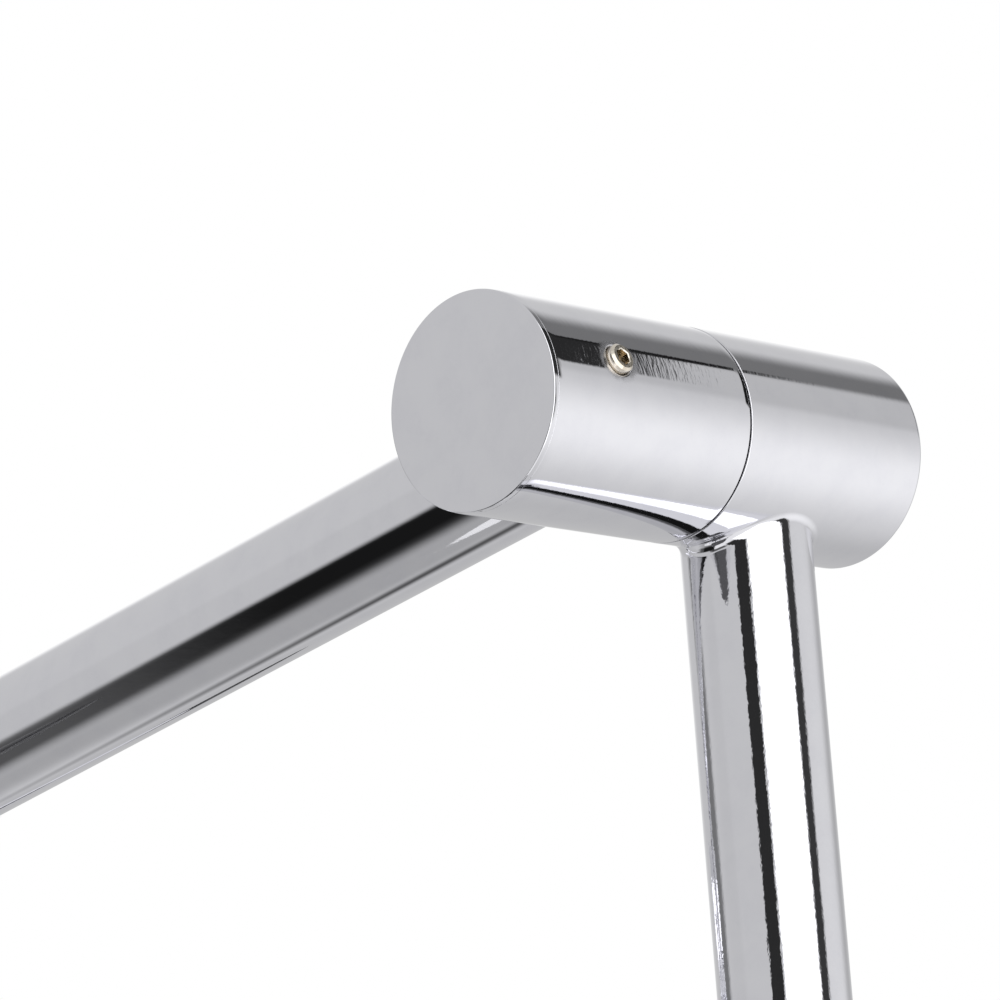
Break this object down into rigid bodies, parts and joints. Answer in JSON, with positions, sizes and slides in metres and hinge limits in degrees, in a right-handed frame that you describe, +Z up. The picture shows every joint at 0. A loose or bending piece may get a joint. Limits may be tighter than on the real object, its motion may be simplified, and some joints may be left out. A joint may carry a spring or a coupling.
{
  "type": "valet stand",
  "caption": "Free-standing chromed tube valet stand with a leaning column, a tilting arm with a jacket hanger, a trouser rail, a swivel tray and an open floor loop.",
  "frame": {"origin": "on the floor, under the middle of the stand's bounding box, which is within 2 mm of the middle of the base loop", "axes": "+Z up, -Y the front, where the jacket hanger faces, +X the side of the arm and tray, along every hub's axis"},
  "size_m": [0.46, 0.4138, 1.118],
  "materials": {
    "chrome": "bright chromed steel tube",
    "hub_chrome": "bright chrome over turned steel",
    "tray_chrome": "chromed pressed sheet",
    "nickel": "nickel-plated screws",
    "ground_steel": "ground bar",
    "nylon": "natural nylon",
    "rubber": "matt black rubber",
    "pad_plastic": "satin black moulding",
    "mat": "ribbed black rubber sheet"
  },
  "bodies": {
    "base": {"base_loop": "chrome", "base_stub": "chrome", "shoe_rails": "chrome", "foot_pads": "rubber", "foot_pad_screws": "nickel", "foot_hub_clamp": "hub_chrome", "foot_hub_cap": "hub_chrome", "foot_set_screw": "nickel"},
    "column": {"foot_hub_plain": "hub_chrome", "foot_spindle": "ground_steel", "foot_washer": "nylon", "column_tube": "chrome", "elbow_hub_plain": "hub_chrome", "elbow_spindle": "ground_steel", "elbow_washer": "nylon", "rail_stop_ring": "hub_chrome", "rail_stop_screw": "nickel", "tray_stop_ring": "hub_chrome", "tray_stop_screw": "nickel"},
    "arm": {"elbow_hub_clamp": "hub_chrome", "elbow_hub_cap": "hub_chrome", "elbow_set_screw": "nickel", "arm_tube": "chrome", "wrist_hub_clamp": "hub_chrome", "wrist_hub_cap": "hub_chrome", "wrist_set_screw": "nickel"},
    "hanger": {"wrist_hub_plain": "hub_chrome", "wrist_spindle": "ground_steel", "wrist_washer": "nylon", "neck_tube": "chrome", "shoulder_bar": "chrome", "shoulder_pad_left": "pad_plastic", "shoulder_pad_right": "pad_plastic"},
    "trouser_rail": {"rail_collar": "hub_chrome", "rail_sleeve": "nylon", "rail_bracket": "chrome", "rail_tee": "hub_chrome", "rail_tee_screw": "nickel", "trouser_bar": "chrome", "trouser_grips": "rubber", "trouser_bar_plugs": "hub_chrome"},
    "tray": {"tray_collar": "hub_chrome", "tray_sleeve": "nylon", "tray_bracket": "chrome", "tray_plate": "chrome", "tray_screws": "nickel", "tray_dish": "tray_chrome", "tray_mat": "mat"}
  },
  "joints": [
    {"name": "foot_lean", "type": "hinge", "parent": "base", "child": "column", "pos_m": [0, 0.1875, 0.066], "axis": [1, 0, 0], "range_deg": [-5, 14]},
    {"name": "elbow_tilt", "type": "hinge", "parent": "column", "child": "arm", "pos_m": [0, 0.08138, 1.1], "axis": [1, 0, 0], "range_deg": [-60, 15]},
    {"name": "wrist_tilt", "type": "hinge", "parent": "arm", "child": "hanger", "pos_m": [0, -0.16802, 1.0265], "axis": [1, 0, 0], "range_deg": [-60, 60]},
    {"name": "rail_swivel", "type": "hinge", "parent": "column", "child": "trouser_rail", "pos_m": [0, 0.12756, 0.65], "axis": [0, -0.1021, 0.9948], "range_deg": [-90, 90]},
    {"name": "tray_swivel", "type": "hinge", "parent": "column", "child": "tray", "pos_m": [0, 0.11011, 0.82], "axis": [0, -0.1021, 0.9948], "range_deg": [-10, 110]}
  ]
}
